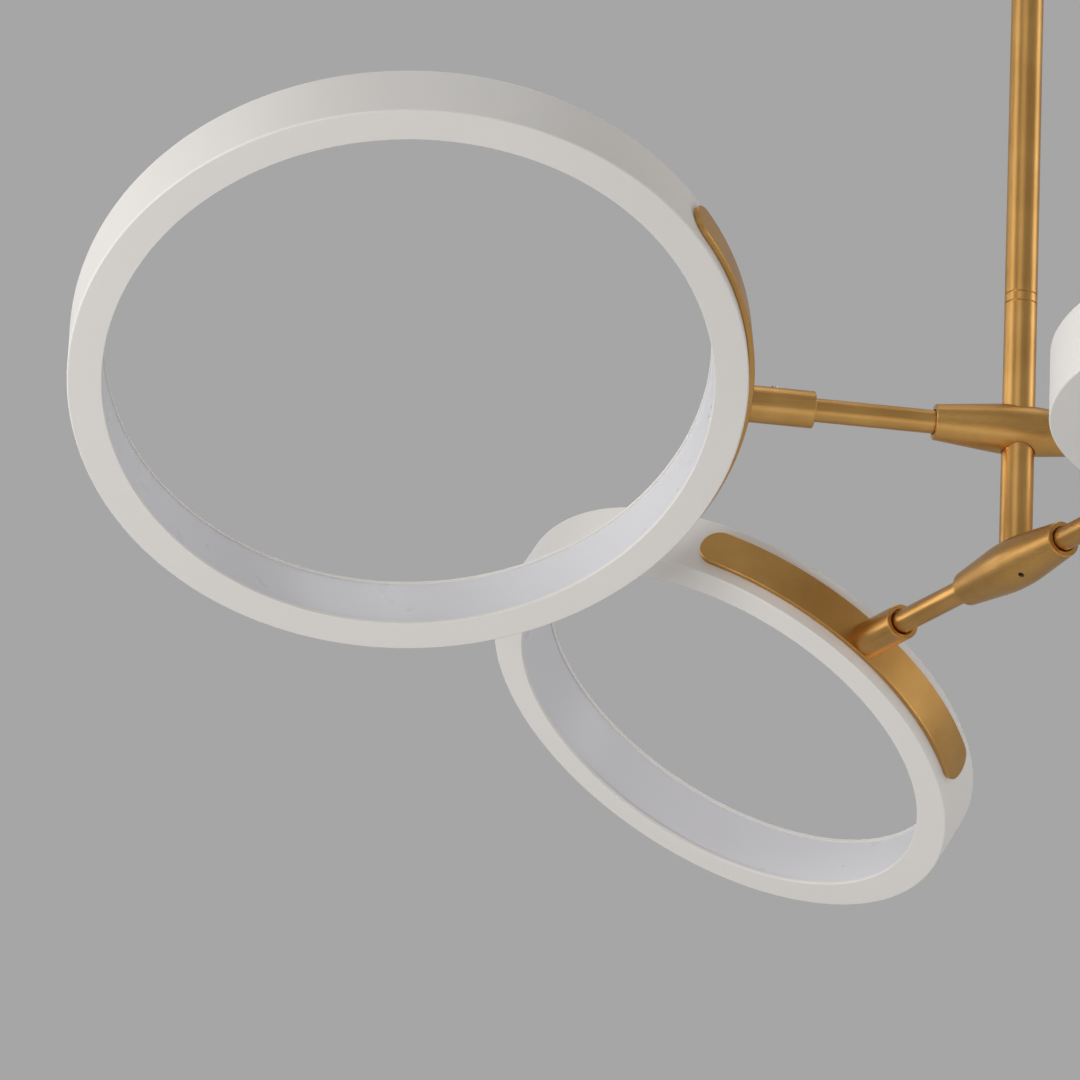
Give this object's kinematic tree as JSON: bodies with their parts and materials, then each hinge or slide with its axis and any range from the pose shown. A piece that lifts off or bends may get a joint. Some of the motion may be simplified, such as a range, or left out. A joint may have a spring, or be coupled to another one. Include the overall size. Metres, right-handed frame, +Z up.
{
  "type": "ceiling light",
  "caption": "Brass stem ceiling light with lit rings on swivelling arms: white ring channels with opal inner diffusers, held by curved brass plates on barrel-shaped hubs",
  "frame": {"origin": "middle of the mounting plate's top face, on the ceiling", "axes": "+Z up towards the ceiling, stem down -Z, the upper hub's arms along X with the left ring at -X, +Y to the rear"},
  "size_m": [0.918, 0.7632, 0.5838],
  "materials": {
    "brass": "satin",
    "white_paint": "satin",
    "opal_diffuser": "gloss",
    "zinc_plate": "zinc plated",
    "steel_hardware": "satin",
    "earth_brass": "bright",
    "driver_case": "matt",
    "terminal_plastic": "matt",
    "lead_sleeve": "matt",
    "led_strip": "matt"
  },
  "bodies": {
    "canopy": {"mounting_plate": "zinc_plate", "canopy": "brass", "canopy_studs": "steel_hardware", "cap_nuts": "brass", "led_driver": "driver_case", "driver_screws": "steel_hardware", "terminal_block": "terminal_plastic", "earth_screw": "earth_brass", "driver_lead": "lead_sleeve"},
    "swivel_head": {"swivel_head": "brass", "swivel_washer": "steel_hardware", "swivel_nut": "steel_hardware", "pivot_screws": "steel_hardware"},
    "stem": {"swivel_tongue": "brass", "top_rod": "brass", "stem_coupler": "brass", "hub_tube": "brass", "stem_lead": "lead_sleeve", "upper_hub": "brass", "upper_hub_screws": "steel_hardware", "left_arm_rod": "brass", "right_arm_rod": "brass", "left_arm_lead": "lead_sleeve", "right_arm_lead": "lead_sleeve"},
    "lower_hub": {"lower_hub": "brass", "lower_hub_screws": "steel_hardware", "rear_arm_rod": "brass", "front_arm_rod": "brass", "rear_arm_lead": "lead_sleeve", "front_arm_lead": "lead_sleeve"},
    "left_ring": {"left_ring_housing": "white_paint", "left_ring_diffuser": "opal_diffuser", "left_led_strip": "led_strip", "left_ring_plate": "brass", "left_ring_collar": "brass", "left_collar_screw": "steel_hardware", "left_ring_bolt": "steel_hardware"},
    "right_ring": {"right_ring_housing": "white_paint", "right_ring_diffuser": "opal_diffuser", "right_led_strip": "led_strip", "right_ring_plate": "brass", "right_ring_collar": "brass", "right_collar_screw": "steel_hardware", "right_ring_bolt": "steel_hardware"},
    "rear_ring": {"rear_ring_housing": "white_paint", "rear_ring_diffuser": "opal_diffuser", "rear_led_strip": "led_strip", "rear_ring_plate": "brass", "rear_ring_collar": "brass", "rear_collar_screw": "steel_hardware", "rear_ring_bolt": "steel_hardware"},
    "front_ring": {"front_ring_housing": "white_paint", "front_ring_diffuser": "opal_diffuser", "front_led_strip": "led_strip", "front_ring_plate": "brass", "front_ring_collar": "brass", "front_collar_screw": "steel_hardware", "front_ring_bolt": "steel_hardware"}
  },
  "joints": [
    {"name": "swivel_spin", "type": "hinge", "parent": "canopy", "child": "swivel_head", "pos_m": [0, 0, -0.041], "axis": [0, 0, 1], "range_deg": [-175, 175]},
    {"name": "stem_tilt", "type": "hinge", "parent": "swivel_head", "child": "stem", "pos_m": [0, 0, -0.041], "axis": [1, 0, 0], "range_deg": [-30, 30]},
    {"name": "lower_hub_turn", "type": "hinge", "parent": "stem", "child": "lower_hub", "pos_m": [0, 0, -0.5041], "axis": [0, 0, 1], "range_deg": [-48, 6]},
    {"name": "left_ring_swivel", "type": "hinge", "parent": "stem", "child": "left_ring", "pos_m": [0, 0, -0.4351], "axis": [-1, 0, 0], "range_deg": [-165, 165]},
    {"name": "right_ring_swivel", "type": "hinge", "parent": "stem", "child": "right_ring", "pos_m": [0, 0, -0.4351], "axis": [1, 0, 0], "range_deg": [-165, 165]},
    {"name": "rear_ring_swivel", "type": "hinge", "parent": "lower_hub", "child": "rear_ring", "pos_m": [0, 0, -0.5041], "axis": [-0.3584, 0.9336, 0], "range_deg": [-165, 165]},
    {"name": "front_ring_swivel", "type": "hinge", "parent": "lower_hub", "child": "front_ring", "pos_m": [0, 0, -0.5041], "axis": [0.3584, -0.9336, 0], "range_deg": [-165, 165]}
  ]
}
